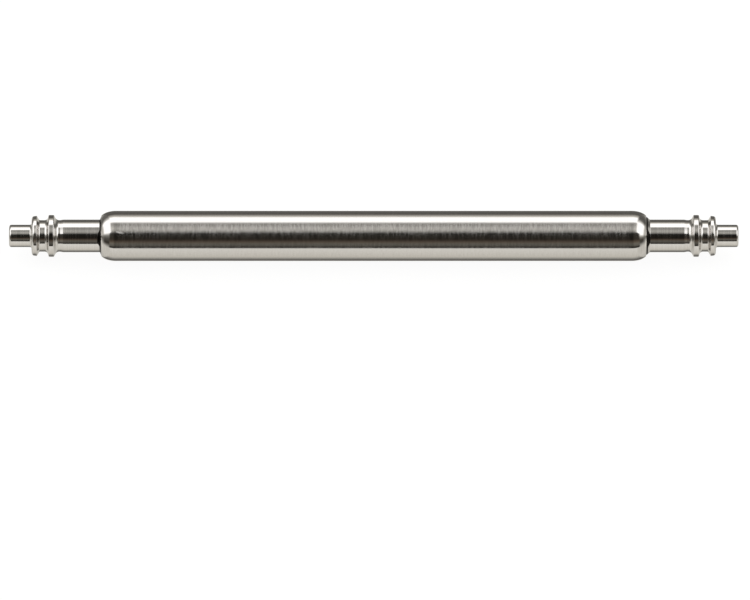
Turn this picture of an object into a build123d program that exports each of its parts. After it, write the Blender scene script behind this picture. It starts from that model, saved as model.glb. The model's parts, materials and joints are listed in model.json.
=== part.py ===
from build123d import *
import math
import os

# A spring bar: the sprung pin that holds a watch strap between the case's lugs.
# A thin tube holds a coil spring and two turned plungers. The tube's ends are rolled
# inwards, so each plunger's wide head is kept in while its shaft slides out through
# the mouth. Outside, each plunger has two flanges with a groove between them, for the
# forked tool that draws it in, and a plain tip that sits in the lug's hole.
# Millimetres. The bar lies along X, its middle at the origin, +Z up.

# Tube
TUBE_DIAMETER = 1.80
TUBE_WALL = 0.15
TUBE_LENGTH = 19.50
ROLL_LENGTH = 0.575           # length of each end that is rolled inwards
RIM_WIDTH = 0.03              # flat ring round the mouth
RIM_SHARE = 0.425             # share of the roll's depth that rim and mouth cut off

# Running clearances, measured on the radius or along the axis
HEAD_CLEARANCE = 0.02         # head in the tube's bore
MOUTH_CLEARANCE = 0.02        # neck in the tube's mouth
SEAT_CLEARANCE = 0.02         # head behind the rolled lip, and spring behind the head
SPRING_CLEARANCE = 0.06       # spring in the tube's bore

# Plunger, from its head outwards
HEAD_LENGTH = 0.90
HEAD_CHAMFER = 0.06
HEAD_STEP = 0.055             # head over neck, on the radius
NECK_STEP = 0.09              # neck over shaft, on the radius
NECK_SHOW = 0.13              # length of the neck's cone that shows at the mouth
SHAFT_LENGTH = 1.22           # from that cone to the relief
RELIEF_RUN = 0.09             # slope down into the relief turned behind the flanges
RELIEF_DEPTH = 0.016
RELIEF_WIDTH = 0.05
FLARE_RADIUS = 0.20           # fillet between the relief and the inner flange
FLARE_RISE = 0.045            # how far that fillet climbs before the flange's flank
INNER_FLANGE_STEP = 0.055     # inner flange over the mouth, on the radius
INNER_FLANGE_WIDTH = 0.295
INNER_FLANGE_CREST_RADIUS = 0.05
GROOVE_WIDTH = 0.295
GROOVE_DEPTH = 0.155          # below the outer flange
OUTER_FLANGE_DROP = 0.03      # outer flange below the inner one, on the radius
OUTER_FLANGE_WIDTH = 0.28
OUTER_FLANGE_FALL = 0.04      # how far its crest slopes down towards the shoulder
OUTER_FLANGE_EDGE_RADIUS = 0.10
EDGE_SHARE = 0.5              # most of the shoulder's height that its edge may take
FLANK_RUN = 0.06              # how far the inner flange's flanks lean
BACK_RUN = 0.10               # how far the outer flange's back leans
TIP_DIAMETER = 0.80
TIP_LENGTH = 0.81
TIP_CHAMFER = 0.05
TIP_ROOT = 0.05               # cone that stands for the small fillet at the tip's root

# Spring
WIRE_DIAMETER = 0.20
SPRING_TURNS = 16
BIARCS_PER_TURN = 2
WIRE_SIDES = 6                # round wire, kept to six flats for a light model

# Radii that follow
TUBE_RADIUS = TUBE_DIAMETER / 2
BORE_RADIUS = TUBE_RADIUS - TUBE_WALL
HEAD_RADIUS = BORE_RADIUS - HEAD_CLEARANCE
NECK_RADIUS = HEAD_RADIUS - HEAD_STEP
SHAFT_RADIUS = NECK_RADIUS - NECK_STEP
RELIEF_RADIUS = SHAFT_RADIUS - RELIEF_DEPTH
MOUTH_RADIUS = NECK_RADIUS + MOUTH_CLEARANCE
INNER_FLANGE_RADIUS = MOUTH_RADIUS + INNER_FLANGE_STEP
OUTER_FLANGE_RADIUS = INNER_FLANGE_RADIUS - OUTER_FLANGE_DROP
GROOVE_RADIUS = OUTER_FLANGE_RADIUS - GROOVE_DEPTH
TIP_RADIUS = TIP_DIAMETER / 2
SHOULDER_HEIGHT = OUTER_FLANGE_RADIUS - OUTER_FLANGE_FALL - TIP_RADIUS - TIP_ROOT
EDGE_RADIUS = min(OUTER_FLANGE_EDGE_RADIUS, EDGE_SHARE * SHOULDER_HEIGHT)
COIL_RADIUS = BORE_RADIUS - SPRING_CLEARANCE - WIRE_DIAMETER / 2

# The rolled end's outline is an ellipse outside and one a wall's thickness within it
MOUTH_X = TUBE_LENGTH / 2
RIM_RADIUS = MOUTH_RADIUS + RIM_WIDTH
ROLL_DEPTH = (TUBE_RADIUS - RIM_RADIUS) / (1 - RIM_SHARE)
ROLL_CENTRE_RADIUS = TUBE_RADIUS - ROLL_DEPTH
ROLL_CENTRE_X = MOUTH_X - ROLL_LENGTH * math.sqrt(1 - RIM_SHARE**2)
INNER_ROLL_LENGTH = ROLL_LENGTH - TUBE_WALL
INNER_ROLL_DEPTH = ROLL_DEPTH - TUBE_WALL


def roll_angle(radius, depth):
    """Degrees round a rolled end's ellipse, from the axis, at this radius."""
    return math.degrees(math.asin((radius - ROLL_CENTRE_RADIUS) / depth))


def lip_inside_x(radius):
    """Where the rolled lip's inner surface lies at this radius."""
    angle = math.radians(roll_angle(radius, INNER_ROLL_DEPTH))
    return ROLL_CENTRE_X + INNER_ROLL_LENGTH * math.cos(angle)


# Places along the right-hand plunger, from the middle of the bar outwards
HEAD_FRONT_X = lip_inside_x(HEAD_RADIUS) - SEAT_CLEARANCE
HEAD_BACK_X = HEAD_FRONT_X - HEAD_LENGTH
NECK_START_X = lip_inside_x(MOUTH_RADIUS) - SEAT_CLEARANCE
SHAFT_START_X = MOUTH_X + NECK_SHOW
RELIEF_START_X = SHAFT_START_X + SHAFT_LENGTH
RELIEF_X = RELIEF_START_X + RELIEF_RUN
FLARE_START_X = RELIEF_X + RELIEF_WIDTH
FLARE_LENGTH = math.sqrt(FLARE_RADIUS**2 - (FLARE_RADIUS - FLARE_RISE) ** 2)
INNER_FLANGE_X = FLARE_START_X + FLARE_LENGTH
GROOVE_X = INNER_FLANGE_X + INNER_FLANGE_WIDTH
OUTER_FLANGE_X = GROOVE_X + GROOVE_WIDTH
SHOULDER_X = OUTER_FLANGE_X + OUTER_FLANGE_WIDTH
TIP_END_X = SHOULDER_X + TIP_LENGTH


def roll_curve(side, length, depth, last_radius):
    """One curve of a rolled end's outline, between the straight wall and this radius."""
    centre = (side * ROLL_CENTRE_X, ROLL_CENTRE_RADIUS)
    last = roll_angle(last_radius, depth)
    first = last if side > 0 else 90
    return EllipticalCenterArc(centre, length, depth, first, arc_size=90 - last)


def rolled_end(side):
    """One rolled end of the tube's outline: outer curve, flat rim, mouth and inner curve."""
    outer = roll_curve(side, ROLL_LENGTH, ROLL_DEPTH, RIM_RADIUS)
    inner = roll_curve(side, INNER_ROLL_LENGTH, INNER_ROLL_DEPTH, MOUTH_RADIUS)
    lip = Polyline(
        (side * MOUTH_X, RIM_RADIUS),
        (side * MOUTH_X, MOUTH_RADIUS),
        (side * lip_inside_x(MOUTH_RADIUS), MOUTH_RADIUS),
    )
    return [outer, inner, *lip.edges()]


def make_tube():
    """The tube, with both ends rolled in round the plungers' necks."""
    edges = rolled_end(1) + rolled_end(-1)
    for radius in (TUBE_RADIUS, BORE_RADIUS):
        edges.append(Line((-ROLL_CENTRE_X, radius), (ROLL_CENTRE_X, radius)))
    return revolve(make_face(edges), Axis.X)


def rounded(corners):
    """A line through (x, radius, rounding) corners; its two ends aren't rounded."""
    points = [(x, radius) for x, radius, _ in corners]
    return FilletPolyline(points, radius=[rounding for _, _, rounding in corners[1:-1]])


def make_plunger():
    """The right-hand plunger, turned from one wire: its half outline, revolved."""
    flare_top = RELIEF_RADIUS + FLARE_RISE
    inside = rounded(
        [
            (HEAD_BACK_X, 0, 0),
            (HEAD_BACK_X, HEAD_RADIUS - HEAD_CHAMFER, 0),
            (HEAD_BACK_X + HEAD_CHAMFER, HEAD_RADIUS, 0),
            (HEAD_FRONT_X, HEAD_RADIUS, 0),
            (NECK_START_X, NECK_RADIUS, 0),
            (MOUTH_X, NECK_RADIUS, 0),
            (SHAFT_START_X, SHAFT_RADIUS, 0),
            (RELIEF_START_X, SHAFT_RADIUS, 0),
            (RELIEF_X, RELIEF_RADIUS, 0),
            (FLARE_START_X, RELIEF_RADIUS, 0),
        ]
    )
    flare = TangentArc(
        (FLARE_START_X, RELIEF_RADIUS), (INNER_FLANGE_X, flare_top), tangent=(1, 0)
    )
    outside = rounded(
        [
            (INNER_FLANGE_X, flare_top, 0),
            (INNER_FLANGE_X + FLANK_RUN, INNER_FLANGE_RADIUS, INNER_FLANGE_CREST_RADIUS),
            (GROOVE_X - FLANK_RUN, INNER_FLANGE_RADIUS, INNER_FLANGE_CREST_RADIUS),
            (GROOVE_X, GROOVE_RADIUS, 0),
            (OUTER_FLANGE_X, GROOVE_RADIUS, 0),
            (OUTER_FLANGE_X + BACK_RUN, OUTER_FLANGE_RADIUS, 0),
            (SHOULDER_X, OUTER_FLANGE_RADIUS - OUTER_FLANGE_FALL, EDGE_RADIUS),
            (SHOULDER_X, TIP_RADIUS + TIP_ROOT, 0),
            (SHOULDER_X + TIP_ROOT, TIP_RADIUS, 0),
            (TIP_END_X - TIP_CHAMFER, TIP_RADIUS, 0),
            (TIP_END_X, TIP_RADIUS - TIP_CHAMFER, 0),
            (TIP_END_X, 0, 0),
        ]
    )
    axis_line = Line((TIP_END_X, 0), (HEAD_BACK_X, 0))
    face = make_face(inside.edges() + [flare] + outside.edges() + [axis_line])
    return revolve(face, Axis.X)


def helix_place(turn, start_x, pitch):
    """Centre of the wire after this many turns, and the way that it runs there."""
    angle = math.tau * turn
    place = Vector(
        start_x + pitch * turn, COIL_RADIUS * math.cos(angle), COIL_RADIUS * math.sin(angle)
    )
    heading = Vector(
        pitch, -math.tau * COIL_RADIUS * math.sin(angle), math.tau * COIL_RADIUS * math.cos(angle)
    )
    return place, heading.normalized()


def biarc(start, start_way, end, end_way):
    """Two arcs that leave start and reach end in the given directions, and meet smoothly."""
    chord = end - start
    both = start_way + end_way
    square = 2 * (1 - start_way.dot(end_way))
    root = math.sqrt(chord.dot(both) ** 2 + square * chord.dot(chord))
    reach = (root - chord.dot(both)) / square
    start_handle = start + start_way * reach
    end_handle = end - end_way * reach
    middle = (start_handle + end_handle) / 2
    first = Edge.make_tangent_arc(start, start_way, middle)
    second = Edge.make_tangent_arc(middle, end_handle - start_handle, end)
    return [first, second]


def make_spring():
    """The coil spring: one wire swept along a helix from one head to the other."""
    start_x = -HEAD_BACK_X + SEAT_CLEARANCE + WIRE_DIAMETER / 2
    pitch = -2 * start_x / SPRING_TURNS
    steps = SPRING_TURNS * BIARCS_PER_TURN
    places = [helix_place(step / BIARCS_PER_TURN, start_x, pitch) for step in range(steps + 1)]
    arcs = []
    for here, there in zip(places, places[1:]):
        arcs += biarc(*here, *there)
    start, way = places[0]
    section = Plane(start, z_dir=way) * RegularPolygon(WIRE_DIAMETER / 2, WIRE_SIDES)
    print_least_gap([arc @ share for arc in arcs for share in (0, 0.5)])
    return sweep(section, path=Wire(arcs))


def print_least_gap(points):
    """Prints how near the wire comes to its own next turn, measured on its centre's points."""
    half_turn = len(points) // SPRING_TURNS // 2
    least = min(
        (point - other).length
        for index, point in enumerate(points)
        for other in points[index + half_turn :]
    )
    print("spring: least gap to itself", round(least - WIRE_DIAMETER, 3), "mm")


def main():
    plunger = make_plunger()
    nodes = {
        "tube": make_tube(),
        "left_plunger": Rot(0, 0, 180) * plunger,
        "right_plunger": plunger,
        "spring": make_spring(),
    }
    os.makedirs("parts", exist_ok=True)
    for name, solid in nodes.items():
        export_step(solid, f"parts/{name}.step")
    print("length over the tips", round(2 * TIP_END_X, 3), "mm")
    print("between the shoulders", round(2 * SHOULDER_X, 3), "mm")


main()
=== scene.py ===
import json
import math

import bmesh
import bpy
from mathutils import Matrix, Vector


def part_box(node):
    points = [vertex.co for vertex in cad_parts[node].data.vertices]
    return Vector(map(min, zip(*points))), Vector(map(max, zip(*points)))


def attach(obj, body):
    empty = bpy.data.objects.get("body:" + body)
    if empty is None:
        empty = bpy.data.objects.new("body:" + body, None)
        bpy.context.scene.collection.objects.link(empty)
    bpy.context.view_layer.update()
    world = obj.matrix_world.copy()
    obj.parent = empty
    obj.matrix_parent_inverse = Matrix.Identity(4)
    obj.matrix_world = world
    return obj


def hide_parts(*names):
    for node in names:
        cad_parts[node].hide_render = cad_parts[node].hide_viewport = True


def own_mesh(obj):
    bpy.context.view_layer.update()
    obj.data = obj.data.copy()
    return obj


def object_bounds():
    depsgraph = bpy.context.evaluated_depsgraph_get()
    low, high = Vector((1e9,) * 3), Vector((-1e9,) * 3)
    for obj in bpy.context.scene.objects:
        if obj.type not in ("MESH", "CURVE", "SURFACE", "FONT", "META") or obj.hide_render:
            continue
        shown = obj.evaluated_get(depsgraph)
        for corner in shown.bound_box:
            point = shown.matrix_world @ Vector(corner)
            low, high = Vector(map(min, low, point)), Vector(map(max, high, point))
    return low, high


# A spring bar: a brushed steel tube with rolled ends, a polished plunger at each end and
# the coil spring between them. Every piece is turned or wound from a formula, in metres,
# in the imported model's frame: the bar lies along X with its middle at the origin.
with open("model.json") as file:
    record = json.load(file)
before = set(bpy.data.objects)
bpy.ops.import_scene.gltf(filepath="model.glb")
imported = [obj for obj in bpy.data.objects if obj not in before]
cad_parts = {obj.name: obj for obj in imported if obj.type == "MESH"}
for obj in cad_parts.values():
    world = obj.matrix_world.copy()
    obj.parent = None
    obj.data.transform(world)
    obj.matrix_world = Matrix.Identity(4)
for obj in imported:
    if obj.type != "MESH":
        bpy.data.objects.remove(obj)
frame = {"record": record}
CAD_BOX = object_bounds()
MM = 0.001

# The photograph: its size, and where the bar lies in it, in pixels
PHOTO_WIDTH = 750
PHOTO_HEIGHT = 600
LEFT_TIP_COLUMN = 9.2
RIGHT_TIP_COLUMN = 738.3
AXIS_ROW = 235.9

# Camera
CAMERA_ELEVATION = 58.0            # degrees above the floor
CAMERA_DISTANCE = 0.50
CLIP_START = 0.01
CLIP_END = 10.0
SENSOR_WIDTH = 36.0                # what Blender calls millimetres, as for the lens

# The tube, from its CAD node and from its rolled ends
TUBE_LOW, TUBE_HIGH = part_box("tube")
TUBE_RADIUS = TUBE_HIGH.y
MOUTH_X = TUBE_HIGH.x
TUBE_WALL = 0.15 * MM
ROLL_LENGTH = 0.575 * MM
ROLL_DEPTH = 0.304 * MM
ROLL_STEPS = 28                    # arc steps from a roll's start to its rim
MOUTH_RADIUS = 0.695 * MM
RIM_WIDTH = 0.03 * MM
RIM_ROUNDING = 0.012 * MM
OUTER_GAP = 0.06                   # radians of a roll that give way to the rim's rounding,
INNER_GAP = 0.04                   # outside and in the bore

# The plunger's outline, from its head to its tip: (x, radius, rounding) in millimetres.
# The photograph shows the cone that ends the neck at the right mouth only.
PLUNGER_LOW, PLUNGER_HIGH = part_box("right_plunger")
HEAD_BACK = PLUNGER_LOW.x / MM
TIP_END = PLUNGER_HIGH.x / MM
HEAD = [
    (HEAD_BACK, 0.67, 0.02),
    (HEAD_BACK + 0.06, 0.73, 0.02),
    (9.419, 0.73, 0.03),
    (9.535, 0.675, 0.03),
]
NECK_ENDS = {
    "left": [(9.762, 0.675, 0.012), (9.796, 0.585, 0.020)],
    "right": [(9.775, 0.675, 0.012), (9.885, 0.585, 0.020)],
}
RELIEF = [
    (11.108, 0.585, 0.015),
    (11.215, 0.567, 0.01),
    (11.345, 0.567, 0.155),
]
FLANGES = [
    (11.446, 0.750, 0.042),
    (11.632, 0.750, 0.042),
    (11.680, 0.565, 0.13),
    (11.965, 0.565, 0.06),
    (12.056, 0.720, 0.02),
    (12.238, 0.700, 0.10),
    (12.240, 0.400, 0.075),
]
TIP = [(TIP_END, 0.40, 0.08)]

# Spring
WIRE_RADIUS = 0.10 * MM
COIL_RADIUS = 0.59 * MM
SPRING_TURNS = 34
CLOSED_TURNS = 1.5                 # turns that lie side by side at each end,
CLOSED_PITCH = 2.1                 # this many wire radii apart
WIRE_SIDES = 12
STEPS_PER_TURN = 40
SPRING_SEAT = 0.02 * MM            # gap between the spring and a plunger's head

# Meshes
ROUND_FACES = 192                  # faces round a turned piece
STEPS_PER_CORNER = 10              # arc steps in a quarter turn of an outline,
FEWEST_STEPS = 3                   # and in a corner that turns only a little
FLAT_MARGIN = 0.004 * MM           # how near a flat's shading loop lies to its rounding
ON_AXIS = 1e-6 * MM                # radius below which a ring is a single point


class Nodes:
    """Short ways to add nodes to one node tree."""

    def __init__(self, tree):
        self.tree = tree
        tree.nodes.clear()

    def add(self, kind, **settings):
        node = self.tree.nodes.new("ShaderNode" + kind)
        for name, value in settings.items():
            setattr(node, name, value)
        return node

    def join(self, source, target):
        self.tree.links.new(source, target)

    def feed(self, socket, value):
        """Links an output to the socket, or sets the socket to a plain value."""
        if isinstance(value, bpy.types.NodeSocket):
            self.join(value, socket)
        else:
            socket.default_value = value

    def math(self, operation, *values):
        node = self.add("Math", operation=operation)
        for socket, value in zip(node.inputs, values):
            self.feed(socket, value)
        return node.outputs[0]

    def ramp(self, value, low, high, to_low=0.0, to_high=1.0):
        """A smooth step: to_low up to low, and to_high from high."""
        node = self.add("MapRange", interpolation_type="SMOOTHSTEP")
        for socket, number in zip(node.inputs, (value, low, high, to_low, to_high)):
            self.feed(socket, number)
        return node.outputs[0]

    def mix_number(self, share, first, second):
        node = self.add("Mix", data_type="FLOAT")
        for socket, value in zip(node.inputs[:1] + node.inputs[2:4], (share, first, second)):
            self.feed(socket, value)
        return node.outputs[0]

    def mix(self, share, first, second):
        node = self.add("Mix", data_type="RGBA")
        self.feed(node.inputs["Factor"], share)
        self.feed(node.inputs["A"], first)
        self.feed(node.inputs["B"], second)
        return node.outputs["Result"]

    def off(self, value, middle):
        """How far a value lies from the middle, to either side."""
        return self.math("ABSOLUTE", self.math("SUBTRACT", value, middle))

    def parts(self, place):
        """The x, y and z of a place or direction."""
        split = self.add("SeparateXYZ")
        self.join(place, split.inputs[0])
        return split.outputs

    def round_bar(self, place):
        """The angle round the bar's axis in degrees: 0 is level in front, and 90 on top."""
        y, z = self.parts(place)[1:]
        return self.math("DEGREES", self.math("ARCTAN2", z, self.math("MULTIPLY", y, -1.0)))


def grey(level):
    """A grey from 0, black, to 1, white."""
    return (level, level, level, 1.0)


def in_scene(name, data):
    """A new object in the scene, made of this mesh or camera."""
    thing = bpy.data.objects.new(name, data)
    bpy.context.scene.collection.objects.link(thing)
    return thing


def rounded(corners):
    """An outline through (x, radius, rounding) corners, sharp at the first and the last."""
    points = [Vector(corners[0][:2])]
    for before, corner, after in zip(corners, corners[1:], corners[2:]):
        at = Vector(corner[:2])
        back = (Vector(before[:2]) - at).normalized()
        on = (Vector(after[:2]) - at).normalized()
        half = back.angle(on) / 2
        reach = corner[2] / math.tan(half)
        middle = at + (back + on).normalized() * (corner[2] / math.sin(half))
        first = at + back * reach - middle
        last = at + on * reach - middle
        turn = math.pi - 2 * half
        steps = max(FEWEST_STEPS, round(STEPS_PER_CORNER * turn / (math.pi / 2)))
        for step in range(steps + 1):
            share = step / steps
            arm = first * math.sin((1 - share) * turn) + last * math.sin(share * turn)
            points.append(middle + arm / math.sin(turn))
    points.append(Vector(corners[-1][:2]))
    return points


def with_flat_loops(points):
    """The outline with a point close to each end of its straight runs, so that they shade flat."""
    held = [points[0]]
    for here, there in zip(points, points[1:]):
        run = there - here
        if run.length > 3 * FLAT_MARGIN:
            step = run.normalized() * FLAT_MARGIN
            held += [here + step, there - step]
        held.append(there)
    return held


def ring_angles(count):
    """The angles of count points at equal steps round a full turn."""
    return [math.tau * number / count for number in range(count)]


def skin(work, rings):
    """Faces between each ring of points and the next. A ring may be a single point."""
    count = max(len(ring) for ring in rings)
    for near, far in zip(rings, rings[1:]):
        for number in range(count):
            after = (number + 1) % count
            if len(near) == 1:
                corners = (near[0], far[after], far[number])
            elif len(far) == 1:
                corners = (near[number], near[after], far[0])
            else:
                corners = (near[number], near[after], far[after], far[number])
            work.faces.new(corners)


def finished(name, work):
    """The mesh as a piece, shaded smooth but for faces with more than four corners."""
    bmesh.ops.recalc_face_normals(work, faces=work.faces)
    for face in work.faces:
        face.smooth = len(face.verts) <= 4
    mesh = bpy.data.meshes.new(name)
    work.to_mesh(mesh)
    work.free()
    return in_scene(name, mesh)


def turned(name, outline, side=1, closed=False):
    """A piece turned about X from (x, radius) points. An open outline ends on the axis."""
    work = bmesh.new()
    angles = ring_angles(ROUND_FACES)
    rings = []
    for x, radius in outline:
        if radius < ON_AXIS:
            rings.append([work.verts.new((side * x, 0, 0))])
            continue
        spots = [(side * x, radius * math.cos(a), radius * math.sin(a)) for a in angles]
        rings.append([work.verts.new(spot) for spot in spots])
    if closed:
        rings.append(rings[0])
    skin(work, rings)
    return finished(name, work)


def seat(piece, body, node, material):
    """Puts a finished piece on its CAD body, in the place of its CAD node."""
    piece.data.materials.append(material)
    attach(piece, body)
    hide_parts(node)


def tube_outline():
    """The tube's wall in section, as a closed outline: outside, rim, mouth and bore."""
    rim_radius = MOUTH_RADIUS + RIM_WIDTH
    roll_radius = TUBE_RADIUS - ROLL_DEPTH
    last = math.asin((rim_radius - roll_radius) / ROLL_DEPTH)
    roll_x = MOUTH_X - ROLL_LENGTH * math.cos(last)
    bore_last = math.asin((MOUTH_RADIUS - roll_radius) / (ROLL_DEPTH - TUBE_WALL))

    def roll(length, depth, first, second):
        angles = [first + (second - first) * step / ROLL_STEPS for step in range(ROLL_STEPS + 1)]
        return [
            Vector((roll_x + length * math.cos(a), roll_radius + depth * math.sin(a)))
            for a in angles
        ]

    outside = roll(ROLL_LENGTH, ROLL_DEPTH, math.pi / 2, last + OUTER_GAP)
    bore_size = (ROLL_LENGTH - TUBE_WALL, ROLL_DEPTH - TUBE_WALL)
    inside = roll(*bore_size, bore_last + INNER_GAP, math.pi / 2)
    rim = rounded(
        [
            (*outside[-1], 0),
            (MOUTH_X, rim_radius, RIM_ROUNDING),
            (MOUTH_X, MOUTH_RADIUS, RIM_ROUNDING),
            (*inside[0], 0),
        ]
    )
    right = outside[:-1] + rim + inside[1:]
    left = [Vector((-point.x, point.y)) for point in reversed(right)]
    return with_flat_loops(right + left)


def make_tube(steel):
    """The tube with its two rolled ends, as one closed shell."""
    tube = turned("tube_shell", tube_outline(), closed=True)
    seat(tube, "tube", "tube", steel)


def plunger_outline(name):
    """A plunger's half section, from its head's middle to its tip's middle."""
    corners = HEAD + NECK_ENDS[name] + RELIEF + FLANGES + TIP
    corners = [(HEAD_BACK, 0, 0)] + corners + [(TIP_END, 0, 0)]
    return with_flat_loops(rounded([tuple(MM * value for value in corner) for corner in corners]))


def make_plunger(name, side, steel):
    """A plunger that points to the left, where side is -1, or to the right, where it is 1."""
    plunger = turned(f"{name}_plunger_turned", plunger_outline(name), side)
    seat(plunger, name, f"{name}_plunger", steel)


def half_coil(name, side):
    """One half of the coil, from the middle of the bar to a plunger's head."""
    end_x = HEAD_BACK * MM - SPRING_SEAT - WIRE_RADIUS
    turns = SPRING_TURNS / 2
    closed_length = CLOSED_TURNS * CLOSED_PITCH * WIRE_RADIUS
    open_turns = turns - CLOSED_TURNS
    open_length = end_x - closed_length
    along = Vector((1, 0, 0))
    angles = ring_angles(WIRE_SIDES)
    work = bmesh.new()
    rings = []
    for step in range(round(turns * STEPS_PER_TURN) + 1):
        turn = step / STEPS_PER_TURN
        in_open = open_length * min(turn, open_turns) / open_turns
        in_closed = closed_length * max(0.0, turn - open_turns) / CLOSED_TURNS
        angle = side * math.tau * turn
        outward = Vector((0, math.cos(angle), math.sin(angle)))
        centre = along * (side * (in_open + in_closed)) + outward * COIL_RADIUS
        arms = [outward * math.cos(a) + along * math.sin(a) for a in angles]
        rings.append([work.verts.new(centre + arm * WIRE_RADIUS) for arm in arms])
    skin(work, rings)
    for end in (rings[0], rings[-1]):
        work.faces.new(end)
    return finished(name, work)


def make_half_spring(name, side, steel):
    """Half of the spring, set on the bar's core with a mesh of its own."""
    coil = half_coil(f"spring_{name}_half", side)
    seat(coil, "core", "spring", steel)
    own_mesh(coil)


# Materials
BASE_COLOURS = {made["slot"]: made["base_color"] for made in frame["record"]["materials"]}

# The rings of every steel, each as smooth and as dark as a noise says
RING_SMOOTH = 0.34                 # the noise at which a ring is smoothest,
RING_ROUGH = 0.66                  # and at which it is roughest
RING_DARK = 0.30                   # the noise at which it is darkest,
RING_LIGHT = 0.70                  # and at which it has the steel's whole colour
RING_SHADE = 0.95                  # the share of that colour that the darkest has
ACROSS_RINGS = 0.25                # of a turn, from the way the rings run to the bar's own

# The polish of the tube's rolled ends
POLISH = 0.08                      # its roughness
POLISH_BLUR = 0.3 * MM             # length over which the brushed finish fades into it

# Painted shade on a plunger's neck: dark in the seam with the tube's rim, further on the side
# facing the camera
SEAM_END = 9.812 * MM              # where it ends, from the bar's middle
SEAM_BLUR = 0.025 * MM
SEAM_WANDER = 0.02 * MM            # how far that end moves with the rings' noise
SEAM_SHADE_REACH = 0.078 * MM            # how much further it reaches on the upper front
SHADE_REACH_MIDDLE = 48.0                # degrees round the bar
SHADE_REACH_HALF = 34.0                  # degrees to either side where the further reach has run out,
SHADE_REACH_FULL = SHADE_REACH_HALF / 3        # and up to which it reaches furthest
# painted shade: the seam's near-black colour and its roughness
SEAM_SHADE_COLOUR = (0.02, 0.018, 0.016)
SEAM_SHADE_ROUGHNESS = 0.45

# The scuff on the tube. It lies where a measure is small: the distance from its middle in half
# sizes, squared, plus SCUFF_RAGGED times the rings' noise, which makes its edge ragged.
SCUFF_X = -9.06 * MM
SCUFF_ANGLE = 65.0                 # degrees round the bar
SCUFF_HALF_LENGTH = 0.16 * MM
SCUFF_HALF_WIDTH = 2.4             # degrees
SCUFF_SLANT = -14.0 / MM           # degrees per length
SCUFF_RAGGED = 3.0
SCUFF_WHOLE = 1.4                  # the measure up to which it is whole,
SCUFF_GONE = 2.4                   # and from which it is gone
SCUFF_ROUGHNESS = 0.42


class Steel(Nodes):
    """Steel finished round its axis: fine rings that scatter light along the bar."""

    def __init__(self, slot, ring_width, ring_length, smooth, rough, anisotropy):
        self.material = bpy.data.materials.new(slot)
        self.material.use_nodes = True
        super().__init__(self.material.node_tree)
        self.shader = self.add("BsdfPrincipled")
        self.shader.inputs["Metallic"].default_value = 1.0
        self.shader.inputs["Anisotropic"].default_value = anisotropy
        self.shader.inputs["Anisotropic Rotation"].default_value = ACROSS_RINGS
        tangent = self.add("Tangent", direction_type="RADIAL", axis="X")
        self.join(tangent.outputs[0], self.shader.inputs["Tangent"])
        self.place = self.add("TexCoord").outputs["Object"]
        self.ring = self.ring_noise(ring_width, ring_length)
        self.roughness = self.ramp(self.ring, RING_SMOOTH, RING_ROUGH, smooth, rough)
        colour = BASE_COLOURS[slot]
        darker = [RING_SHADE * part for part in colour]
        light = self.ramp(self.ring, RING_DARK, RING_LIGHT)
        self.colour = self.mix(light, [*darker, 1.0], [*colour, 1.0])

    def ring_noise(self, width, length):
        """Noise that changes over a ring's width along the bar, and over length round it."""
        stretch = self.add("Mapping")
        stretch.inputs["Scale"].default_value = (1 / width, 1 / length, 1 / length)
        self.join(self.place, stretch.inputs["Vector"])
        noise = self.add("TexNoise")
        noise.inputs["Scale"].default_value = 1.0
        noise.inputs["Detail"].default_value = 0.0
        self.join(stretch.outputs[0], noise.inputs["Vector"])
        return noise.outputs[0]

    def from_middle(self):
        """The distance from the bar's middle, along its axis."""
        return self.math("ABSOLUTE", self.parts(self.place)[0])

    def patch(self, mask, roughness, colour=None):
        """Another roughness where the mask is 1, and another colour if one is given."""
        self.roughness = self.mix_number(mask, self.roughness, roughness)
        if colour:
            self.colour = self.mix(mask, self.colour, [*colour, 1.0])

    def joined(self):
        """The material, with its finish joined to its shader."""
        self.join(self.roughness, self.shader.inputs["Roughness"])
        self.join(self.colour, self.shader.inputs["Base Color"])
        self.join(self.shader.outputs[0], self.add("OutputMaterial").inputs["Surface"])
        return self.material


def roll_mask(steel):
    """1 on the tube's rolled ends."""
    start = MOUTH_X - ROLL_LENGTH - POLISH_BLUR / 2
    return steel.ramp(steel.math("SUBTRACT", steel.from_middle(), start), 0.0, POLISH_BLUR)


def scuff_mask(steel):
    """1 on a short ragged scratch near the tube's left roll, which slants down to the right."""
    along = steel.math("SUBTRACT", steel.parts(steel.place)[0], SCUFF_X)
    middle = steel.math("MULTIPLY_ADD", along, SCUFF_SLANT, SCUFF_ANGLE)
    across = steel.math("SUBTRACT", steel.round_bar(steel.place), middle)
    along = steel.math("POWER", steel.math("DIVIDE", along, SCUFF_HALF_LENGTH), 2.0)
    across = steel.math("POWER", steel.math("DIVIDE", across, SCUFF_HALF_WIDTH), 2.0)
    out = steel.math("MULTIPLY_ADD", steel.ring, SCUFF_RAGGED, steel.math("ADD", along, across))
    return steel.ramp(out, SCUFF_WHOLE, SCUFF_GONE, 1.0, 0.0)


def seam_shade_mask(steel):
    """1 on the plunger's neck, where shade is painted dark in the seam with the tube's rim."""
    off_middle = steel.off(steel.round_bar(steel.place), SHADE_REACH_MIDDLE)
    furthest_shade_end = SEAM_END + SEAM_SHADE_REACH
    end = steel.ramp(off_middle, SHADE_REACH_FULL, SHADE_REACH_HALF, furthest_shade_end, SEAM_END)
    end = steel.math("MULTIPLY_ADD", steel.ring, SEAM_WANDER, end)
    past_end = steel.math("SUBTRACT", steel.from_middle(), end)
    return steel.ramp(past_end, -SEAM_BLUR, 0.0, 1.0, 0.0)


def tube_steel():
    """Brushed, with polished rolled ends and one scuff."""
    steel = Steel(
        "tube_steel",
        ring_width=0.028 * MM,
        ring_length=0.3 * MM,
        smooth=0.135,
        rough=0.205,
        anisotropy=0.9,
    )
    steel.patch(roll_mask(steel), POLISH)
    steel.patch(scuff_mask(steel), SCUFF_ROUGHNESS)
    return steel.joined()


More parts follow.
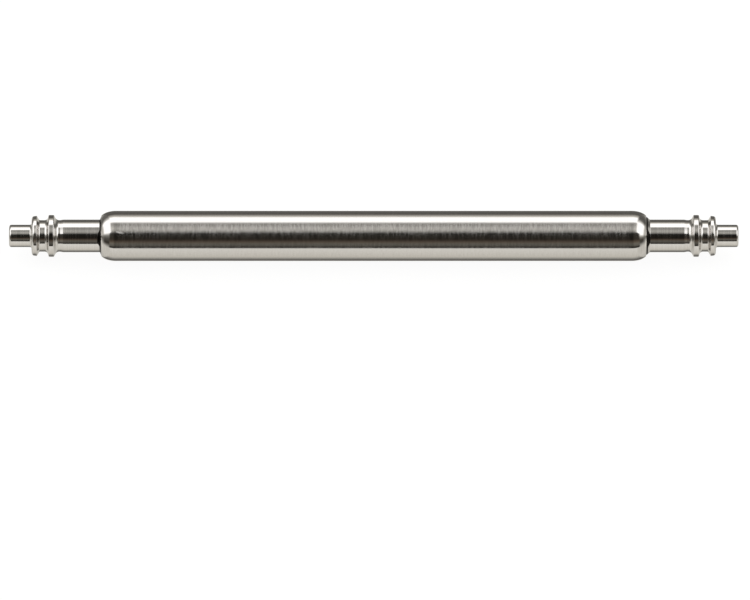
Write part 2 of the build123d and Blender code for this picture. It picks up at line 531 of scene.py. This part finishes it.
def plunger_steel():
    """Turned and polished, with painted shade dark on the neck, in the seam with the tube's rim.
    """
    steel = Steel(
        "plunger_steel",
        ring_width=0.04 * MM,
        ring_length=0.8 * MM,
        smooth=0.06,
        rough=0.14,
        anisotropy=0.8,
    )
    # painted shade in the seam between the neck and the tube's rim
    steel.patch(seam_shade_mask(steel), SEAM_SHADE_ROUGHNESS, SEAM_SHADE_COLOUR)
    return steel.joined()


def spring_steel():
    """Drawn wire, evenly mottled."""
    steel = Steel(
        "spring_steel",
        ring_width=0.05 * MM,
        ring_length=0.05 * MM,
        smooth=0.25,
        rough=0.35,
        anisotropy=0.0,
    )
    return steel.joined()


# Studio
# The light that the bar reflects, in four directions seen from it, by angle in degrees round it:
# 0 is level in front, 90 overhead, 180 level behind. Each stop is (angle, brightness, warmth).
# FRONT lies square to the bar, where camera and photographer are dark. LEFT and RIGHT lie
# beside it, and FAR towards the bar's own ends. In the functions below, a direction's angle
# is the one round the bar, and aside is how many degrees it points to left or right.
FRONT = [
    (-143, 0.15, 0.3),
    (-130, 0.80, 0.3),
    (-106, 0.60, 0.3),
    (-98, 0.12, 0.3),
    (-87, 0.17, 0.3),
    (-74, 0.30, 0.3),
    (-65, 0.54, 0.3),
    (-54, 0.79, 0.4),
    (-2, 1.00, 0.2),
    (-1, 0.03, 0.8),
    (5, 0.05, 0.7),
    (11, 0.155, 0.6),
    (21, 0.21, 0.7),
    (26, 0.19, 1.1),
    (30, 0.15, 1.3),
    (37, 0.087, 1.4),
    (44, 0.052, 1.05),
    (58, 0.053, 0.8),
    (64, 0.048, 0.6),
    (70, 0.08, 0.3),
    (75, 0.31, 0.3),
    (81, 0.61, 0.3),
    (87, 0.77, 0.25),
    (94, 0.80, 0.25),
    (111, 0.50, 0.25),
    (120, 0.60, 0.2),
    (126, 1.80, 0.0),
    (151, 1.80, 0.0),
    (157, 0.90, 0.3),
    (164, 0.56, 0.4),
    (178, 0.10, 0.4),
]
LEFT = [
    (-165, 0.20, 0.3),
    (-135, 0.70, 0.3),
    (-98, 0.65, 0.3),
    (-60, 0.85, 0.3),
    (-4, 0.86, 0.3),
    (5, 0.50, 0.3),
    (14, 0.18, 0.5),
    (22, 0.05, 1.0),
    (46, 0.13, 0.5),
    (59, 0.33, 0.3),
    (66, 0.75, 0.1),
    (74, 1.80, 0.0),
    (140, 1.80, 0.0),
    (150, 0.75, 0.2),
    (166, 0.20, 0.3),
]
RIGHT = [
    (-165, 0.20, 0.3),
    (-135, 0.70, 0.3),
    (-98, 0.65, 0.3),
    (-60, 0.85, 0.3),
    (-4, 0.80, 0.3),
    (9, 0.45, 0.3),
    (21, 0.10, 0.5),
    (36, 0.08, 1.0),
    (48, 0.25, 0.5),
    (58, 0.80, 0.3),
    (66, 1.80, 0.0),
    (125, 1.80, 0.0),
    (135, 0.80, 0.2),
    (147, 0.22, 0.3),
    (160, 0.15, 0.3),
]
FAR = [
    (-165, 0.25, 0.3),
    (-135, 0.50, 0.3),
    (-98, 0.35, 0.3),
    (-75, 0.55, 0.3),
    (-50, 1.00, 0.3),
    (-30, 1.10, 0.3),
    (-14, 0.75, 0.3),
    (9, 0.38, 0.3),
    (30, 0.22, 0.4),
    (42, 0.20, 0.5),
    (56, 0.32, 0.4),
    (66, 0.60, 0.3),
    (76, 0.75, 0.3),
    (118, 0.70, 0.3),
    (138, 0.70, 0.3),
    (154, 0.55, 0.3),
    (172, 0.30, 0.3),
]
GREEN_LOSS = 0.04                  # what warmth takes off the green, in proportion to it,
GREEN_CURVE = 0.09                 # and to its square,
BLUE_LOSS = 0.30                   # and what it takes off the blue
PATCH_MIDDLE = 35.0                # degrees round the bar to the middle of the dark front patch
PATCH_HALF = 37.0
PATCH_BLUR = 5.0
LEFT_START = 22.0                  # degrees to left or right where the patch ends
RIGHT_START = 29.0
OTHER_START = 16.0                 # the same for the rest of FRONT, above and below the patch
SIDE_BLUR = 5.0                    # degrees over which the sides take over from the front
SIDE_CHANGE = 0.1                  # how far aside, as a sine, LEFT and RIGHT still blend
CORE_MIDDLE = 60.0                 # degrees round the bar to the middle of FRONT's darker core
CORE_REACH = 56.0
CORE_REACH_BLUR = 4.0
CORE_HALF = 3.5                    # degrees to left or right over which the core is darkest
CORE_BLUR = 6.0
CORE_SHADE = 0.38                  # the share of FRONT's light that the core lacks
DARK_MIDDLE = 53.5                 # degrees round the bar to the middle of its darkest part
DARK_HALF = 16.5
DARK_BLUR = 5.0
DARK_SHADE = 0.70
FAR_START = 50.0                   # degrees to left or right where FAR takes over
FAR_BLUR = 14.0

# Floor
FLOOR_HALF = 0.6                   # half its width
PAPER = 0.12                       # the floor's grey in the studio's light,
PAPER_GLOW = 0.93                  # and what it adds to that for the camera


def colour_bands(nodes, turn, stops):
    """A colour that changes with the share of a turn round the bar, from 0 to 1."""
    node = nodes.add("ValToRGB")
    nodes.join(turn, node.inputs[0])
    elements = node.color_ramp.elements
    while len(elements) < len(stops):
        elements.new(0.5)
    for element, (angle, brightness, warmth) in zip(elements, stops):
        element.position = (angle + 180) / 360
        green = 1 - GREEN_LOSS * warmth - GREEN_CURVE * warmth ** 2
        blue = 1 - BLUE_LOSS * warmth
        element.color = (brightness, brightness * green, brightness * blue, 1.0)
    return node.outputs[0]


def core_share(nodes, angle, aside):
    """The share of FRONT's light that is lacking, in its core and its darkest part."""
    off_dark = nodes.off(angle, DARK_MIDDLE)
    dark_edge = (DARK_HALF - DARK_BLUR, DARK_HALF + DARK_BLUR)
    shade = nodes.ramp(off_dark, *dark_edge, DARK_SHADE, CORE_SHADE)
    core = nodes.ramp(aside, CORE_HALF, CORE_HALF + CORE_BLUR, shade, 0.0)
    off_core = nodes.off(angle, CORE_MIDDLE)
    core_edge = (CORE_REACH - CORE_REACH_BLUR, CORE_REACH + CORE_REACH_BLUR)
    return nodes.math("MULTIPLY", core, nodes.ramp(off_core, *core_edge, 1.0, 0.0))


def side_share(nodes, angle, aside, x):
    """How far LEFT or RIGHT has taken over from FRONT, from 0 to 1."""
    patch_start = nodes.ramp(x, -SIDE_CHANGE, SIDE_CHANGE, LEFT_START, RIGHT_START)
    off_patch = nodes.off(angle, PATCH_MIDDLE)
    patch_edge = (PATCH_HALF - PATCH_BLUR, PATCH_HALF + PATCH_BLUR)
    start = nodes.ramp(off_patch, *patch_edge, patch_start, OTHER_START)
    return nodes.ramp(nodes.math("SUBTRACT", aside, start), 0.0, SIDE_BLUR)


def make_world():
    """White for the camera, and the studio's bands of light for everything else."""
    world = bpy.data.worlds.new("studio")
    bpy.context.scene.world = world
    world.use_nodes = True
    nodes = Nodes(world.node_tree)
    direction = nodes.add("TexCoord").outputs["Generated"]
    x = nodes.parts(direction)[0]
    aside = nodes.math("DEGREES", nodes.math("ARCSINE", nodes.math("ABSOLUTE", x)))
    angle = nodes.round_bar(direction)
    turn = nodes.math("MULTIPLY_ADD", angle, 1 / 360, 0.5)
    bands = (FRONT, LEFT, RIGHT, FAR)
    front, left, right, far = (colour_bands(nodes, turn, stops) for stops in bands)
    front = nodes.mix(core_share(nodes, angle, aside), front, grey(0.0))
    sides = nodes.mix(nodes.ramp(x, -SIDE_CHANGE, SIDE_CHANGE), left, right)
    light = nodes.mix(side_share(nodes, angle, aside, x), front, sides)
    light = nodes.mix(nodes.ramp(aside, FAR_START, FAR_START + FAR_BLUR), light, far)
    seen = nodes.add("LightPath").outputs["Is Camera Ray"]
    background = nodes.add("Background")
    nodes.join(nodes.mix(seen, light, grey(1.0)), background.inputs["Color"])
    nodes.join(background.outputs[0], nodes.add("OutputWorld").inputs["Surface"])


def floor_paper():
    """Grey paper that glows for the camera alone."""
    material = bpy.data.materials.new("floor")
    material.use_nodes = True
    nodes = Nodes(material.node_tree)
    paper = nodes.add("BsdfDiffuse")
    paper.inputs["Color"].default_value = grey(PAPER)
    glow = nodes.add("Emission")
    glow.inputs["Color"].default_value = grey(PAPER_GLOW)
    nodes.join(nodes.add("LightPath").outputs["Is Camera Ray"], glow.inputs["Strength"])
    both = nodes.add("AddShader")
    nodes.join(paper.outputs[0], both.inputs[0])
    nodes.join(glow.outputs[0], both.inputs[1])
    nodes.join(both.outputs[0], nodes.add("OutputMaterial").inputs["Surface"])
    return material


def make_floor():
    """A pale floor under the tube. The camera sees it near white, with the bar's soft shadow."""
    mesh = bpy.data.meshes.new("floor")
    signs = ((-1, -1), (1, -1), (1, 1), (-1, 1))
    corners = [(FLOOR_HALF * x, FLOOR_HALF * y, 0) for x, y in signs]
    mesh.from_pydata(corners, [], [(0, 1, 2, 3)])
    mesh.materials.append(floor_paper())
    floor = in_scene("floor", mesh)
    floor.location.z = TUBE_LOW.z
    floor.visible_glossy = False
    floor.visible_shadow = False


def make_camera():
    """The camera, placed so that the bar lies where the photograph shows it."""
    tilt = math.radians(CAMERA_ELEVATION)
    back = Vector((0, -math.cos(tilt), math.sin(tilt)))
    up = Vector((0, math.sin(tilt), math.cos(tilt)))
    pixel = (CAD_BOX[1].x - CAD_BOX[0].x) / (RIGHT_TIP_COLUMN - LEFT_TIP_COLUMN)
    middle_column = (LEFT_TIP_COLUMN + RIGHT_TIP_COLUMN) / 2
    aim = Vector((PHOTO_WIDTH / 2 - middle_column, 0, 0)) - up * (PHOTO_HEIGHT / 2 - AXIS_ROW)
    aim *= pixel
    data = bpy.data.cameras.new("camera")
    data.sensor_width = SENSOR_WIDTH
    data.lens = SENSOR_WIDTH * CAMERA_DISTANCE / (PHOTO_WIDTH * pixel)
    data.clip_start = CLIP_START
    data.clip_end = CLIP_END
    camera = in_scene("camera", data)
    camera.location = aim + back * CAMERA_DISTANCE
    camera.rotation_euler = (-back).to_track_quat("-Z", "Y").to_euler()
    bpy.context.scene.camera = camera


def main():
    bpy.context.scene.view_settings.view_transform = "Standard"
    make_camera()
    make_world()
    make_floor()
    make_tube(tube_steel())
    polished = plunger_steel()
    drawn = spring_steel()
    for name, side in (("left", -1), ("right", 1)):
        make_plunger(name, side, polished)
        make_half_spring(name, side, drawn)


main()
